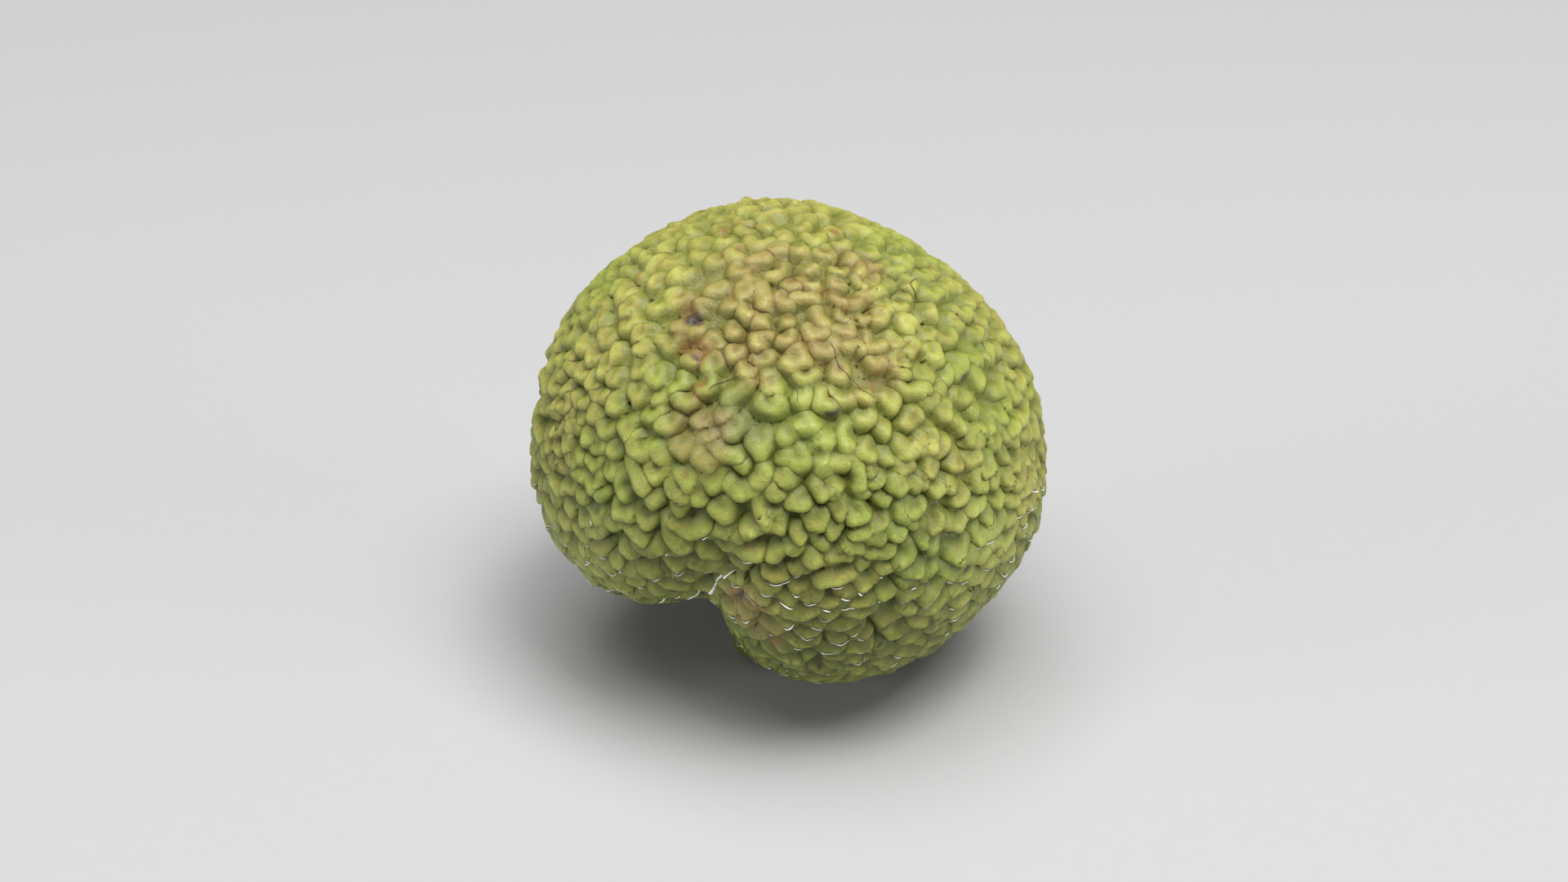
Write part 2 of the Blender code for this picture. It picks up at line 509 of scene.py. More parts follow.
class Lobes:
    """The lobes, each a ridge along a bent spine with its style pit in the bend's upper side.

    A spine runs from its middle to two tips, which are held as steps from the middle. Each lobe
    has its own lift, slope, tone and pit, and many on the lower side get a painted highlight at
    their edge.
    """

    def __init__(self, settings):
        random = np.random.default_rng(LOBE_SEED)
        places, normal = skin_normals(scatter_lobes(settings.lobe_count))
        count = len(places)
        level = unit(np.cross((0.0, 0.0, 1.0), normal))
        uphill = np.cross(normal, level)
        lower = smooth_step(-normal[:, 2:], *LOWER_SPAN)
        lean = random.normal(0.0, SPINE_LEAN, (count, 1)) * (1.0 + (LOWER_LEAN - 1.0) * lower)
        sideways = np.cos(lean) * level + np.sin(lean) * uphill
        upward = np.cos(lean) * uphill - np.sin(lean) * level
        half = settings.spine * random.uniform(SHORTEST_SPINE, 1.0, (count, 1))
        half *= 1.0 + (LOWER_LENGTH - 1.0) * lower
        bend = random.normal(SPINE_BEND, SPINE_BEND_SPREAD, (count, 1))
        bend *= 1.0 + (LOWER_BEND - 1.0) * lower
        reach = half * np.cos(bend) * sideways
        raised = half * np.sin(bend) * upward
        self.middle = places - 0.5 * raised
        self.tips = np.stack((raised - reach, raised + reach), axis=1)
        self.pit = self.middle + NOTCH_PLACE * upward
        self.sideways = sideways
        self.upward = upward
        self.width = settings.lobe_width * lobe_size(places)
        self.relief = settings.relief
        self.power = SIDE_POWER * (1.0 + (LOWER_POWER - 1.0) * lower[:, 0])
        self.lift = -settings.relief * settings.unevenness * random.random(count)
        shingling = settings.shingling * (1.0 + (LOWER_SHINGLING - 1.0) * lower)
        self.slope = shingling * -uphill + settings.tilt * (
            random.normal(size=(count, 1)) * level + random.normal(size=(count, 1)) * uphill
        )
        self.tone = random.uniform(-1.0, 1.0, count)
        self.pit_strength = random.random(count) ** PIT_RARITY
        self.pit_sink = random.uniform(*PIT_SINKS, count)
        self.level = level
        self.uphill = uphill
        latitude = np.degrees(np.arcsin(unit(places)[:, 2]))
        low = smooth_step(-latitude, -HIGHLIGHT_LATITUDES[0], -HIGHLIGHT_LATITUDES[1])
        self.highlighted = random.random(count) < HIGHLIGHT_SHARE * low


def near_lobes(points, lobes):
    """Numbers of the lobes whose middles are nearest to each point."""
    near = np.empty((len(points), NEAR_LOBES), dtype=np.int64)
    middles = lobes.middle.astype(np.float32)
    for part in np.array_split(np.arange(len(points)), PARTS):
        far = np.sum(middles ** 2, axis=1) - 2.0 * points[part].astype(np.float32) @ middles.T
        near[part] = np.argpartition(far, NEAR_LOBES, axis=1)[:, :NEAR_LOBES]
    return near


def crease_softness(points):
    """How far the creases are filled up at each point: the softest's filling, times a smooth step
    of a noise and times another of the point's height."""
    patchy = smooth_step(lattice_noise(points, SOFTNESS_CELL, SOFTNESS_SEED), *SOFTNESS_SPAN)
    return SOFTEST_CREASE * patchy * smooth_step(points[:, 2], *SOFT_HEIGHTS)


def push_about(points):
    """The points, moved by a coarse noise and from there by a fine one."""
    points = points + WARP * noise_vectors(points, WARP_CELL, WARP_SEED)
    return points + FINE_WARP * noise_vectors(points, FINE_WARP_CELL, FINE_WARP_SEED)


def from_spines(points, lobes, near):
    """How far each point lies from its near lobes: the offset from the middle, and the way and the
    distance from the nearer half of the spine."""
    offset = points[:, None, :] - lobes.middle[near]
    tips = lobes.tips[near]
    share = np.sum(offset[:, :, None, :] * tips, axis=3) / np.sum(tips ** 2, axis=3)
    away = offset[:, :, None, :] - np.clip(share, 0.0, 1.0)[..., None] * tips
    apart = np.linalg.norm(away, axis=3)
    half = apart.argmin(axis=2)[:, :, None]
    away = np.take_along_axis(away, half[..., None], axis=2)[:, :, 0]
    return offset, away, np.take_along_axis(apart, half, axis=2)[:, :, 0]


Reading = namedtuple("Reading", "lobe height distance way softness")


def read_lobes(points, lobes, near):
    """At each point its lobe, the height, the distance to the nearest crease, the way to it and how
    soft creases are.

    A lobe's height is its lift, plus its slope times the offset from its middle, less a power of
    the distance from its spine. The highest lobe holds the point, and a crease runs where two
    are level: its distance is the difference of both heights over that of their slopes. Where
    the creases are soft, they are filled up as a smooth maximum of all the heights.
    """
    softness = crease_softness(points)
    offset, away, apart = from_spines(push_about(points), lobes, near)
    width = lobes.width[near]
    power = lobes.power[near]
    slope = lobes.slope[near]
    drop = lobes.relief * (apart / width) ** power
    height = lobes.lift[near] + np.sum(slope * offset, axis=2) - drop
    fall = power * drop / apart ** 2
    climb = slope - fall[..., None] * away

    rows = np.arange(len(points))
    own = height.argmax(axis=1)
    lead = height[rows, own][:, None] - height
    parting = climb[rows, own][:, None, :] - climb
    steepness = np.linalg.norm(parting, axis=2)
    distance = np.where(steepness > 0.0, lead / np.maximum(steepness, TINY), np.inf)
    nearest = distance.argmin(axis=1)
    way = -parting[rows, nearest] / steepness[rows, nearest][:, None]
    blend = np.maximum(softness, TINY)
    filling = blend * np.log(np.exp(-lead / blend[:, None]).sum(axis=1))
    return Reading(
        lobe=near[rows, own],
        height=height[rows, own] + filling,
        distance=distance[rows, nearest],
        way=way,
        softness=softness,
    )


def cube_grid():
    """Directions and quads of a cube whose faces are grids, blown up into a sphere.

    Counted from the middle of a face, each grid line stands at the tangent of its angle, and all
    lines are the same angle apart. Corners that faces share are merged, so the sphere is closed.
    """
    line = np.arange(GRID + 1)
    column, row = np.meshgrid(line, line, indexing="ij")
    corners = []
    for axis in range(3):
        for side in (0, GRID):
            flat = np.full_like(column, side)
            pair = (column, row) if side else (row, column)
            corner = np.stack((flat, *pair), axis=-1)
            corners.append(np.roll(corner, axis, axis=-1))
    corners = np.stack(corners)
    unique, index = np.unique(corners.reshape(-1, 3), axis=0, return_inverse=True)
    index = index.reshape(corners.shape[:3])
    left = index[:, :, :-1]
    right = index[:, :, 1:]
    quads = np.stack((left[:, :-1], left[:, 1:], right[:, 1:], right[:, :-1]), axis=-1)
    directions = unit(np.tan((unique / GRID - 0.5) * 0.5 * math.pi))
    return directions, quads.reshape(-1, 4)


def draw_to_creases(directions, lobes, near):
    """Directions drawn towards the creases, so that the mesh is finest there, and which of them
    end on a crease.

    What lies closer to a crease than the snap distance moves onto it, and from there to the draw
    distance all distances are stretched evenly over the whole way.
    """
    points = skin_points(directions)
    reading = read_lobes(points, lobes, near)
    share = np.clip((reading.distance - SNAP_DISTANCE) / (DRAW_DISTANCE - SNAP_DISTANCE), 0.0, 1.0)
    wanted = np.where(reading.distance < DRAW_DISTANCE, share * DRAW_DISTANCE, reading.distance)
    for _ in range(DRAW_ROUNDS):
        step = np.clip(reading.distance - wanted, -LONGEST_DRAW, LONGEST_DRAW)
        directions = unit(points + step[:, None] * reading.way)
        points = skin_points(directions)
        reading = read_lobes(points, lobes, near)
    return directions, wanted == 0.0


def split_quads(quads, height):
    """Two triangles for each quad, cut along the diagonal whose ends lie lower, so that creases
    run along edges."""
    levels = height[quads]
    along = levels[:, 0] + levels[:, 2] < levels[:, 1] + levels[:, 3]
    first = np.where(along[:, None], quads[:, (0, 1, 2)], quads[:, (0, 1, 3)])
    second = np.where(along[:, None], quads[:, (0, 2, 3)], quads[:, (1, 2, 3)])
    return np.concatenate((first, second)).tolist()


def patches(directions, table):
    """How strongly each direction is stained: the largest of the patches' strengths, each falling
    off as a bell of the angle from its middle in reaches."""
    strongest = np.zeros(len(directions))
    for longitude, latitude, reach, strength in table:
        aside = angle_to(directions, direction(longitude, latitude))
        strongest = np.maximum(strongest, strength * np.exp(-(aside / reach) ** 2))
    return strongest


class Relief:
    """The lobes' relief, read at any directions.

    A point stands on the skin, moved along the skin's normal by its height. The height is the
    highest lobe's, plus a fine ripple, less a bell for the lobe's style pit. A point also slips
    downhill by its rise above the creases, so that the lobes sag over the ones below them, more
    so on the lower side. What would reach below the floor is pressed flat against it. The painted
    shadow below an overhanging lobe is a smooth step of how far uphill the way to the nearest
    crease runs.
    """

    def __init__(self, directions, lobes, near, settings):
        points, normal = skin_normals(directions)
        reading = read_lobes(points, lobes, near)
        lobe = reading.lobe
        from_pit = points - lobes.pit[lobe]
        pit = np.exp(-np.sum(from_pit ** 2, axis=1) / settings.pit_width ** 2)
        height = reading.height
        height += RIPPLE_HEIGHT * lattice_noise(points, RIPPLE_CELL, RIPPLE_SEED)
        height -= settings.pit_depth * lobes.pit_sink[lobe] * pit
        height = np.clip(height, -LOWEST_CREASE * settings.relief, HIGHEST_TOP)
        downhill = (0.0, 0.0, -1.0) + normal * normal[:, 2:]
        rise = 1.0 + height / settings.relief
        sag = settings.sag * smooth_step(-normal[:, 2], *SAG_SPAN) * rise

        self.height = height
        self.places = MIDDLE + points + normal * height[:, None] + downhill * sag[:, None]
        self.places[:, 2] = np.maximum(self.places[:, 2], 0.0)
        self.normal = normal
        self.distance = reading.distance
        self.softness = reading.softness
        self.tone = lobes.tone[lobe]
        self.pit = lobes.pit_strength[lobe] * pit
        # Painted shadow below the lobe above.
        self.overhang_shadow = smooth_step(-dot(reading.way, downhill)[:, 0], *OVERHANG_SHADOW_SPAN)


def rind_shape(lobes, settings):
    """Vertices, triangles, vertex attributes and sharp crease vertices of the finished rind."""
    directions, quads = cube_grid()
    near = near_lobes(skin_points(directions), lobes)
    directions, creased = draw_to_creases(directions, lobes, near)
    relief = Relief(directions, lobes, near, settings)
    relief.distance[creased] = 0.0
    relief.overhang_shadow[creased] = 1.0
    # Painted shade: a deeper green towards the bottom, lifted in a few patches.
    shade = smooth_step(-directions[:, 2], *SHADE_SPAN)
    attributes = {
        "distance": relief.distance,
        "softness": relief.softness / SOFTEST_CREASE,
        "depth": np.clip(-relief.height / settings.relief, 0.0, DARKEST_CREASE),
        "tone": relief.tone,
        "pit": relief.pit,
        "ochre": patches(directions, OCHRE_PATCHES),
        "brown": patches(directions, BROWN_SPOTS),
        "dark": patches(directions, DARK_SPOTS),
        "grey": patches(directions, GREY_PATCHES),
        "scar": patches(directions, STEM_SCAR),
        "shade": np.maximum(shade - patches(directions, LESS_SHADED_PATCHES), 0.0),
        "overhang_shadow": relief.overhang_shadow,
    }
    sharp = creased & (relief.softness < SHARP_LIMIT)
    return relief.places, split_quads(quads, relief.height), attributes, sharp


def spread(values, steps, extreme):
    """The extreme of every value and its neighbours along the last axis, up to so many steps."""
    padded = np.pad(values, ((0, 0), (steps, steps)), mode="edge")
    windows = np.lib.stride_tricks.sliding_window_view(padded, 2 * steps + 1, axis=1)
    return extreme(windows, axis=2)


def style_paths(lobes, settings):
    """Directions along every dried style, from its pit to its tip.

    A style follows the straight way between its two ends, bowed aside by a sine arch and waved by
    a little noise. Besides the known ones, the rest start at pits that are drawn by lot.
    """
    random = np.random.default_rng(STYLE_SEED)
    starts = [direction(*style[0:2]) for style in KNOWN_STYLES]
    ends = [direction(*style[2:4]) for style in KNOWN_STYLES]
    bows = [style[4] for style in KNOWN_STYLES]
    drawn = random.choice(len(lobes.pit), settings.style_count, replace=False)
    turns = random.uniform(-math.pi, math.pi, (settings.style_count, 1))
    lengths = random.uniform(*STYLE_LENGTHS, (settings.style_count, 1)) * settings.style_length
    reach = np.cos(turns) * lobes.sideways[drawn] + np.sin(turns) * lobes.upward[drawn]
    starts = np.concatenate((starts, unit(lobes.pit[drawn])))
    ends = np.concatenate((ends, unit(lobes.pit[drawn] + lengths * reach)))
    bows = np.concatenate((bows, random.normal(0.0, STYLE_BOW_SPREAD, settings.style_count)))

    travel = np.linspace(0.0, 1.0, STYLE_STEPS)[None, :, None]
    straight = ends - starts
    aside = np.cross(straight, starts)
    wave = lattice_noise(
        (starts[:, None, :] + travel * straight[:, None, :]).reshape(-1, 3),
        STYLE_WAVE_CELL / BODY_RADIUS,
        STYLE_WAVE_SEED,
    ).reshape(len(starts), STYLE_STEPS, 1)
    bend = bows[:, None, None] * np.sin(math.pi * travel) + settings.style_wave * wave
    return unit(starts[:, None, :] + travel * straight[:, None, :] + bend * aside[:, None, :])


def carry(profile, centre, normal):
    """Vertices and faces of a profile carried along paths, with a flat face at either end.

    Each row of centre and normal is one path. For every step along the paths, or along each of
    them, the profile holds how far its corners lie sideways and up, turning from sideways to up.
    """
    forward = unit(np.gradient(centre, axis=1))
    side = unit(np.cross(normal, forward))
    upward = np.cross(forward, side)
    vertices = (
        centre[:, :, None, :]
        + profile[..., 0, None] * side[:, :, None, :]
        + profile[..., 1, None] * upward[:, :, None, :]
    )
    number = np.arange(vertices.size // 3).reshape(vertices.shape[:3])
    following = np.roll(number, -1, axis=2)
    walls = np.stack((number[:, :-1], following[:, :-1], following[:, 1:], number[:, 1:]), axis=-1)
    faces = walls.reshape(-1, 4).tolist()
    faces += number[:, 0, ::-1].tolist() + number[:, -1].tolist()
    return vertices.reshape(-1, 3), faces


def style_shape(lobes, settings):
    """Vertices, faces and vertex attributes of the dried styles.

    Each is a round profile carried along its path. The path lies on the relief, raised to bridge
    what is narrower than a few steps: first the highest of the neighbouring heights, then the
    lowest of those. The profile's radius shrinks towards both ends.
    """
    paths = style_paths(lobes, settings)
    count = len(paths)
    directions = paths.reshape(-1, 3)
    relief = Relief(directions, lobes, near_lobes(skin_points(directions), lobes), settings)
    surface = relief.height.reshape(count, STYLE_STEPS)
    bridged = spread(spread(surface, STYLE_SPANS, np.max), STYLE_SPANS, np.min)
    lift = bridged - surface + settings.style_radius * 0.5
    normal = relief.normal.reshape(count, STYLE_STEPS, 3)
    centre = relief.places.reshape(count, STYLE_STEPS, 3) + normal * lift[:, :, None]
    centre[:, :, 2] = np.maximum(centre[:, :, 2], settings.style_radius)
    travel = np.linspace(0.0, 1.0, STYLE_STEPS)
    taper = np.interp(travel, *zip(*STYLE_TAPER))
    turn = np.arange(STYLE_SIDES) * 2.0 * math.pi / STYLE_SIDES
    ring = np.stack((np.cos(turn), np.sin(turn)), axis=1)
    vertices, faces = carry(settings.style_radius * taper[:, None, None] * ring, centre, normal)
    random = np.random.default_rng(PALENESS_SEED)
    paleness = np.repeat(random.random(count), STYLE_STEPS * STYLE_SIDES)
    return vertices, faces, {"paleness": paleness}


def smooth_highlight(edge):
    """Paths whose every step but the first and last has moved towards its neighbours' middle."""
    for _ in range(HIGHLIGHT_SMOOTHINGS):
        edge[:, 1:-1] = 0.5 * edge[:, 1:-1] + 0.25 * (edge[:, :-2] + edge[:, 2:])
    return edge


def known_highlights(lobes):
    """Directions along the known highlight slivers: straight ways whose steps move to the nearest crease.
    """
    starts = np.array([direction(*smear[0:2]) for smear in KNOWN_HIGHLIGHTS])
    ends = np.array([direction(*smear[2:4]) for smear in KNOWN_HIGHLIGHTS])
    travel = np.linspace(0.0, 1.0, HIGHLIGHT_RAYS)[:, None]
    ways = unit(starts[:, None, :] + travel * (ends - starts)[:, None, :])
    points = skin_points(ways.reshape(-1, 3))
    reading = read_lobes(points, lobes, near_lobes(points, lobes))
    edge = (points + reading.distance[:, None] * reading.way).reshape(ways.shape)
    return unit(smooth_highlight(edge))


def highlight_paths(lobes):
    """Directions along the lower edge of every lobe that gets a painted highlight.

    From the lobe's middle a fan of rays runs downhill. On each ray the last of many steps that
    still lies on the lobe is found, and the crease is as far from there as its distance says. The
    path is smoothed a few times, and of a crooked one only half is kept. Lobes that are very
    small or whose path jumps are left out.
    """
    random = np.random.default_rng(HIGHLIGHT_SEED)
    highlighted = np.flatnonzero(lobes.highlighted)
    fan = HIGHLIGHT_FAN * random.uniform(*HIGHLIGHT_FAN_SHARES, (len(highlighted), 1, 1))
    turn = fan * np.linspace(-1.0, 1.0, HIGHLIGHT_RAYS)[:, None]
    turn = turn + random.normal(0.0, HIGHLIGHT_FAN_TURN, (len(highlighted), 1, 1))
    level = lobes.level[highlighted][:, None, :]
    uphill = lobes.uphill[highlighted][:, None, :]
    rays = np.sin(turn) * level - np.cos(turn) * uphill
    reach = np.linspace(0.0, HIGHLIGHT_REACH, HIGHLIGHT_PROBES)[:, None]
    probes = lobes.middle[highlighted][:, None, None, :] + reach * rays[:, :, None, :]
    points = skin_points(unit(probes.reshape(-1, 3)))
    reading = read_lobes(points, lobes, near_lobes(points, lobes))
    on_lobe = reading.lobe.reshape(probes.shape[:3]) == highlighted[:, None, None]
    steps = np.cumprod(on_lobe, axis=2).sum(axis=2)
    last = np.maximum(steps - 1, 0)[:, :, None, None]
    crease = (points + reading.distance[:, None] * reading.way).reshape(probes.shape)
    edge = np.take_along_axis(crease, last, axis=2)[:, :, 0]
    edge = smooth_highlight(edge)
    gaps = np.linalg.norm(np.diff(edge, axis=1), axis=2).max(axis=1)
    whole = (steps.min(axis=1) >= FEWEST_HIGHLIGHT_STEPS) & (gaps < WIDEST_HIGHLIGHT_GAP)
    edge = edge[whole]

    length = np.linalg.norm(np.diff(edge, axis=1), axis=2).sum(axis=1)
    crooked = np.linalg.norm(edge[:, -1] - edge[:, 0], axis=1) < LEAST_STRAIGHTNESS * length
    turned = np.where(random.random((len(edge), 1, 1)) < 0.5, edge[:, ::-1], edge)
    travel = np.linspace(0.0, 0.5 * (HIGHLIGHT_RAYS - 1), HIGHLIGHT_RAYS)
    before = np.floor(travel).astype(int)
    after = np.ceil(travel).astype(int)
    half = 0.5 * (turned[:, before] + turned[:, after])
    return unit(np.where(crooked[:, None, None], half, edge))


def highlight_shape(lobes, settings):
    """Vertices and faces of the white slivers of painted highlight.

    A flat diamond is carried along the lower edges of the lobes and along the known slivers. It
    lies a little above the relief and down the slope, and its width swells along its path as a
    sine arch.
    """
    edges = highlight_paths(lobes)
    paths = np.concatenate((edges, known_highlights(lobes)))
    directions = paths.reshape(-1, 3)
    relief = Relief(directions, lobes, near_lobes(skin_points(directions), lobes), settings)
    downhill = relief.normal * relief.normal[:, 2:] - (0.0, 0.0, 1.0)
    centre = relief.places + HIGHLIGHT_LIFT * relief.normal + HIGHLIGHT_SLIP * downhill
    centre[:, 2] = np.maximum(centre[:, 2], settings.highlight_width)
    arch = HIGHLIGHT_END + (1.0 - HIGHLIGHT_END) * np.sin(np.linspace(0.0, math.pi, HIGHLIGHT_RAYS))
    diamond = np.array(((1.0, 0.0), (0.0, HIGHLIGHT_THICKNESS), (-1.0, 0.0), (0.0, -HIGHLIGHT_THICKNESS)))
    random = np.random.default_rng(HIGHLIGHT_WIDTH_SEED)
    shares = random.uniform(*HIGHLIGHT_WIDTH_SHARES, len(edges))
    shares = np.concatenate((shares, [smear[4] for smear in KNOWN_HIGHLIGHTS]))
    profile = settings.highlight_width * shares[:, None, None, None] * arch[:, None, None] * diamond
    return carry(profile, centre.reshape(paths.shape), relief.normal.reshape(paths.shape))


def add_mesh(name, vertices, faces, attributes, material):
    """A smooth-shaded mesh object at the origin, with one number per vertex in each attribute."""
    mesh = bpy.data.meshes.new(name)
    mesh.from_pydata(vertices.tolist(), [], faces)
    for label, values in attributes.items():
        layer = mesh.attributes.new(label, "FLOAT", "POINT")
        layer.data.foreach_set("value", values.astype(np.float32))
    mesh.shade_smooth()
    mesh.materials.append(material)
    piece = bpy.data.objects.new(name, mesh)
    bpy.context.scene.collection.objects.link(piece)
    return piece


def sharpen(piece, marked):
    """Make every edge sharp whose two ends are marked."""
    mesh = piece.data
    ends = np.empty(2 * len(mesh.edges), dtype=np.int32)
    mesh.edges.foreach_get("vertices", ends)
    sharp = marked[ends].reshape(-1, 2).all(axis=1)
    layer = mesh.attributes.new("sharp_edge", "BOOLEAN", "EDGE")
    layer.data.foreach_set("value", sharp)


class Term:
    """A number that changes over a surface: a node's output, with arithmetic that adds nodes."""

    def __init__(self, maker, socket):
        self.maker = maker
        self.socket = socket

    def calculate(self, operation, first, second):
        """The result of a Math node on two values, each a number or a term."""
        return self.maker.term("ShaderNodeMath", {"operation": operation}, {0: first, 1: second})

    def __add__(self, other):
        return self.calculate("ADD", self, other)

    def __radd__(self, other):
        return self.calculate("ADD", other, self)

    def __sub__(self, other):
        return self.calculate("SUBTRACT", self, other)

    def __rsub__(self, other):
        return self.calculate("SUBTRACT", other, self)

    def __mul__(self, other):
        return self.calculate("MULTIPLY", self, other)

    def __rmul__(self, other):
        return self.calculate("MULTIPLY", other, self)

    def climb(self, low, high):
        """0 below low, 1 above high, and a smooth rise between them."""
        return self.maker.term(
            "ShaderNodeMapRange",
            {"interpolation_type": "SMOOTHSTEP"},
            {"Value": self, "From Min": low, "From Max": high},
        )

    def mark(self, mark):
        """How strongly a mark covers what is below it, by the value of its pattern."""
        return self.climb(mark.start, mark.full) * mark.strength


class Maker:
    """Builds the nodes of one material round its Principled shader."""

    def __init__(self, name):
        self.material = bpy.data.materials.new(name)
        self.material.use_nodes = True
        self.tree = self.material.node_tree
        self.shader = self.tree.nodes["Principled BSDF"]
        self.place = self.node("ShaderNodeTexCoord").outputs["Object"]

    def fill(self, socket, value):
        """Give a socket a number, a colour, a term or another node's output."""
        source = value.socket if isinstance(value, Term) else value
        if isinstance(source, bpy.types.NodeSocket):
            self.tree.links.new(source, socket)
        else:
            socket.default_value = source

    def node(self, kind, settings=(), sockets=()):
        """A node of that kind, with its settings made first and then its sockets filled."""
        node = self.tree.nodes.new(kind)
        for name, value in dict(settings).items():
            setattr(node, name, value)
        for name, value in dict(sockets).items():
            self.fill(node.inputs[name], value)
        return node

    def term(self, kind, settings=(), sockets=()):
        """The first output of such a node, as a term."""
        return Term(self, self.node(kind, settings, sockets).outputs[0])

    def attribute(self, name):
        """A number stored on the vertices."""
        node = self.node("ShaderNodeAttribute", {"attribute_name": name})
        return Term(self, node.outputs["Fac"])

    def noise(self, size, detail=2.0, roughness=0.5, distortion=0.0):
        """Soft noise from 0 to 1, whose lumps are about so large."""
        return self.term("ShaderNodeTexNoise", {}, {
            "Vector": self.place,
            "Scale": 1.0 / size,
            "Detail": detail,
            "Roughness": roughness,
            "Distortion": distortion,
        })

    def blend(self, share, first, second):
        """The colour between two others, by the share of the second."""
        mix = self.node("ShaderNodeMix", {"data_type": "RGBA"}, {
            MIX_SHARE: share, MIX_FIRST: first, MIX_SECOND: second,
        })
        return mix.outputs[MIX_RESULT]

    def scale(self, colour, factor):
        """The colour made lighter or darker by a factor that changes over the surface."""
        node = self.node("ShaderNodeVectorMath", {"operation": "SCALE"}, {0: colour, "Scale": factor})
        return node.outputs[0]

    def bump(self, height, depth):
        """Normals of a relief whose height, from 0 to 1, stands for so many metres."""
        node = self.node("ShaderNodeBump", {}, {"Height": height, "Distance": depth, "Strength": 1.0})
        return node.outputs[0]

    def finish(self, **inputs):
        """The material, with the shader's inputs filled."""
        for name, value in inputs.items():
            self.fill(self.shader.inputs[name.replace("_", " ")], value)
        return self.material


class RindPatterns:
    """What the rind's colours and roughness are made of: numbers that are stored on its vertices,
    noises, and the marks that are used more than once."""

    def __init__(self, maker):
        self.distance = maker.attribute("distance")
        self.depth = maker.attribute("depth")
        self.tone = maker.attribute("tone")
        # Painted shade towards the bottom.
        self.shade = maker.attribute("shade")
        self.bruise = maker.attribute("ochre")
        self.broad = maker.noise(BROAD_LUMPS, detail=3.0)
        self.patchy = maker.noise(PATCHY_LUMPS, detail=4.0, roughness=0.6)
        self.mottle = maker.noise(MOTTLE_LUMPS, detail=5.0, roughness=0.65, distortion=0.4)
        self.grain = maker.noise(GRAIN_LUMPS, detail=3.0, roughness=0.6)
        self.ochre = (self.bruise + self.patchy * 0.55).mark(OCHRE_MARK)
        walls = self.depth.climb(0.15, 0.45) * (1.0 - self.depth.climb(0.60, 1.00))
        self.rim = walls * (self.patchy + self.broad).mark(RIM_MARK)
        # Closeness to a crease, for the painted shade beside it and for bruised edges.
        self.gap = 1.0 - self.distance.climb(*GAP_REACHES)
        # A dark line of painted shade at the bottom of the creases, left out where they are soft.
        soft = maker.attribute("softness").climb(0.0, 0.6)
        self.line = (1.0 - self.distance.climb(*LINE_REACHES)) * (1.0 - soft)
        self.scar = (maker.attribute("scar") + self.mottle * 0.40).mark(SCAR_MARK)


def ripen_and_shade_below(maker, rind, colours):
    """The rind's colour before the creases are shaded: green to yellow, greener in blotches and, as
    painted shade, on the lower side, ochre and grey in patches, and paler on the lobes' tops."""
    colour = maker.blend((rind.broad + rind.tone * 0.04).mark(RIPE_MARK), colours.green, colours.yellow)
    colour = maker.blend((rind.patchy + rind.tone * 0.06).mark(BLOTCH_MARK), colour, colours.deep)
    # Painted shade: a deeper green towards the bottom.
    colour = maker.blend(rind.shade * 0.80, colour, colours.deep)
    colour = maker.blend(rind.ochre * (0.45 + rind.mottle * 0.55), colour, colours.ochre)
    grey = maker.attribute("grey") + rind.mottle * 0.5
    colour = maker.blend(grey.mark(GREY_MARK), colour, colours.grey)
    top = (1.0 - rind.depth.climb(0.0, 0.40)) * rind.mottle.mark(TOP_MARK)
    return maker.blend(top, colour, colours.top)


def darken_creases(maker, rind, colours, colour):
    """The colour with ochre walls, with painted shade in and beside the creases, and with a painted
    shadow below each overhanging lobe.
    """
    colour = maker.blend(rind.rim * 0.45, colour, colours.ochre)
    # Painted shade deep in the creases, stronger on the lower side.
    low = rind.depth.mark(HOLLOW_SHADE_MARK) * (0.52 + rind.shade * 0.42)
    colour = maker.blend(low, colour, colours.crease)
    # Painted shade right beside the creases, on the lower side.
    colour = maker.blend(rind.gap * rind.shade.mark(GAP_MARK), colour, colours.crease)
    # Painted shadow below each overhanging lobe, stronger on the lower side.
    overhang_shadow = (1.0 - rind.distance.climb(*OVERHANG_SHADOW_REACHES)) * maker.attribute("overhang_shadow")
    return maker.blend(overhang_shadow * (0.25 + rind.shade * 0.70), colour, colours.crease)


def stain(maker, rind, colours, colour):
    """The colour with brown pits, bruised edges, freckles, brown and dark spots and the scar."""
    tint = (maker.attribute("pit") + rind.mottle * 0.3).mark(PIT_MARK)
    colour = maker.blend(tint * (0.25 + rind.bruise * 0.60), colour, colours.brown)
    edge = rind.gap * rind.ochre * rind.patchy.mark(EDGE_MARK)
    colour = maker.blend(edge, colour, colours.brown)
    freckle = maker.noise(FRECKLE_LUMPS, detail=1.0).mark(FRECKLE_MARK)
    colour = maker.blend(freckle * rind.patchy.climb(0.45, 0.60), colour, colours.brown)
    brown = (maker.attribute("brown") + rind.mottle * 0.35).mark(BROWN_MARK)
    uneven = 0.20 + rind.mottle.climb(0.35, 0.65) * 0.35 + rind.depth.climb(0.10, 0.60) * 0.45
    colour = maker.blend(brown * uneven, colour, colours.brown)
    dark = (maker.attribute("dark") + rind.mottle * 0.30).mark(DARK_MARK)
    colour = maker.blend(dark * rind.depth.climb(0.20, 0.65), colour, colours.dark)
    return maker.blend(rind.scar, colour, colours.scar)


